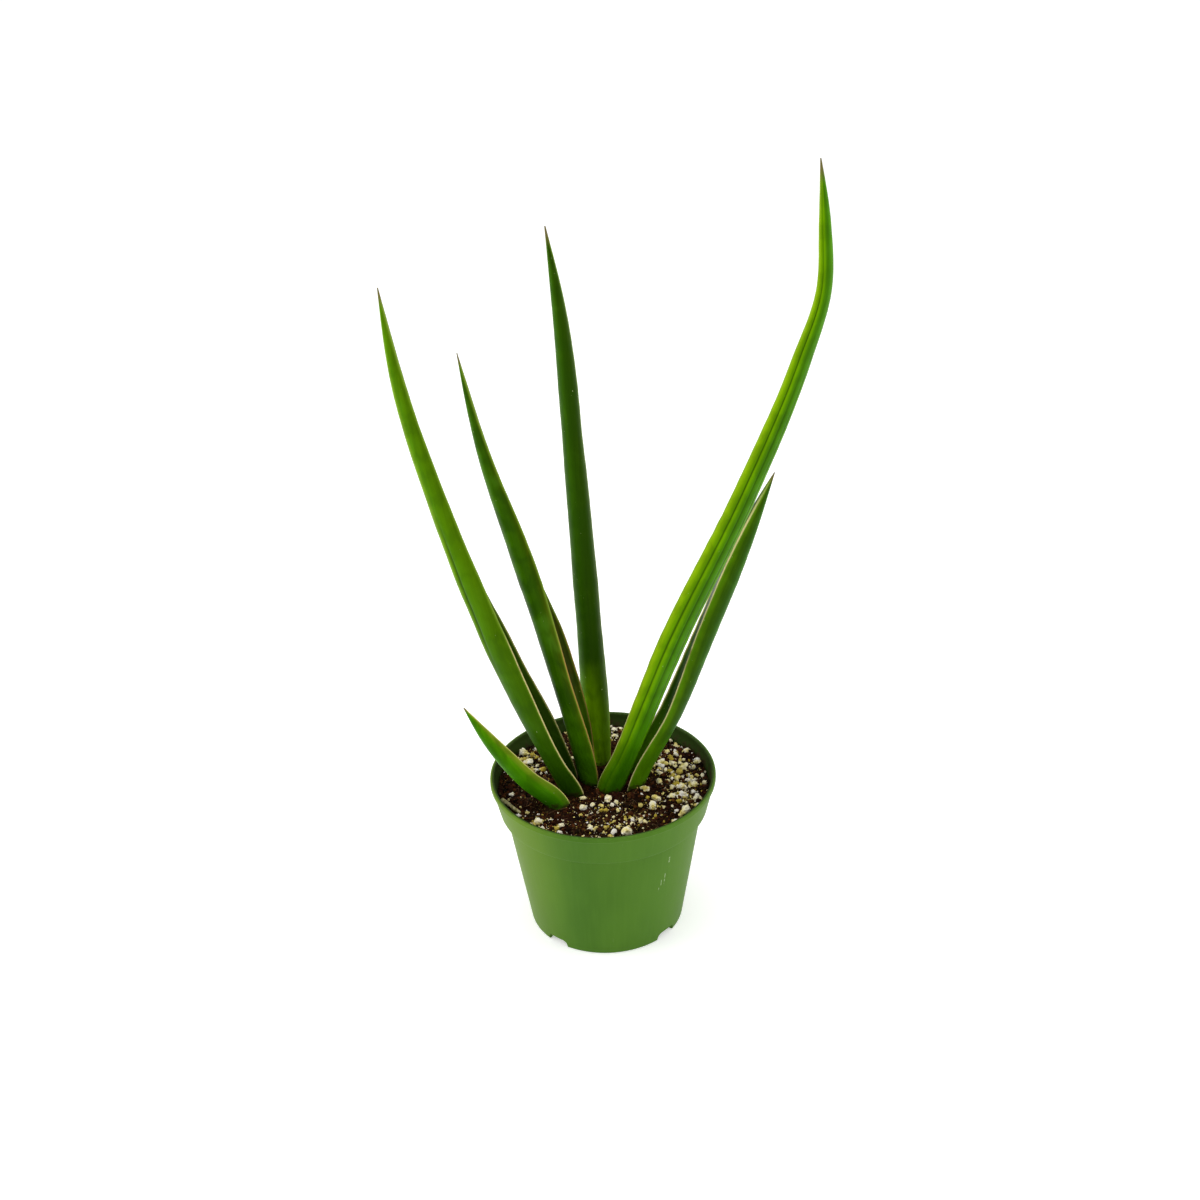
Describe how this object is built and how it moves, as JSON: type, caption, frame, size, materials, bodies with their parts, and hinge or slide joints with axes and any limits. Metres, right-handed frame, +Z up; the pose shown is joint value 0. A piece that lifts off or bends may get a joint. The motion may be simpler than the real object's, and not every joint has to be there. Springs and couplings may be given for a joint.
{
  "type": "potted snake plant",
  "caption": "Snake plant with narrow upright channelled leaves and a small side shoot, in gritty soil in a squat round green plastic nursery pot.",
  "frame": {"origin": "middle of the flat pad on the pot's underside, on the pot's axis", "axes": "+Z up along the pot's axis, the front towards -Y with the side shoot at the front left, +X to the right where the tallest leaf leans"},
  "size_m": [0.1926, 0.108, 0.3874],
  "materials": {
    "pot_plastic": "satin moulded green plastic with light scuffs",
    "potting_mix": "crumbly dark reddish brown peat",
    "perlite": "porous cream white expanded rock",
    "straw": "dry tan stalk",
    "rhizome": "pale orange brown underground stem",
    "leaf_yellow_green": "waxy yellow green leaf with fine darker lines",
    "leaf_mid_green": "waxy mid green leaf with faint cross bands",
    "leaf_dark_green": "waxy dark green leaf with faint cross bands"
  },
  "bodies": {
    "root": {"nursery_pot": "pot_plastic", "potting_soil": "potting_mix", "rhizome_and_roots": "rhizome", "leaf_far_left": "leaf_yellow_green", "leaf_left": "leaf_dark_green", "leaf_centre": "leaf_dark_green", "leaf_right_tall": "leaf_yellow_green", "leaf_right_short": "leaf_dark_green", "pup_leaf": "leaf_mid_green", "perlite_grain_01": "perlite", "perlite_grain_02": "perlite", "perlite_grain_03": "perlite", "perlite_grain_04": "perlite", "perlite_grain_05": "perlite", "perlite_grain_06": "perlite", "perlite_grain_07": "perlite", "perlite_grain_08": "perlite", "perlite_grain_09": "perlite", "perlite_grain_10": "perlite", "perlite_grain_11": "perlite", "perlite_grain_12": "perlite", "perlite_grain_13": "perlite", "perlite_grain_14": "perlite", "perlite_grain_15": "perlite", "perlite_grain_16": "perlite", "perlite_grain_17": "perlite", "perlite_grain_18": "perlite", "perlite_grain_19": "perlite", "perlite_grain_20": "perlite", "perlite_grain_21": "perlite", "perlite_grain_22": "perlite", "perlite_grain_23": "perlite", "perlite_grain_24": "perlite", "perlite_grain_25": "perlite", "perlite_grain_26": "perlite", "perlite_grain_27": "perlite", "perlite_grain_28": "perlite", "perlite_grain_29": "perlite", "perlite_grain_30": "perlite", "perlite_grain_31": "perlite", "perlite_grain_32": "perlite", "perlite_grain_33": "perlite", "perlite_grain_34": "perlite", "perlite_grain_35": "perlite", "straw_stalk": "straw"}
  },
  "joints": []
}
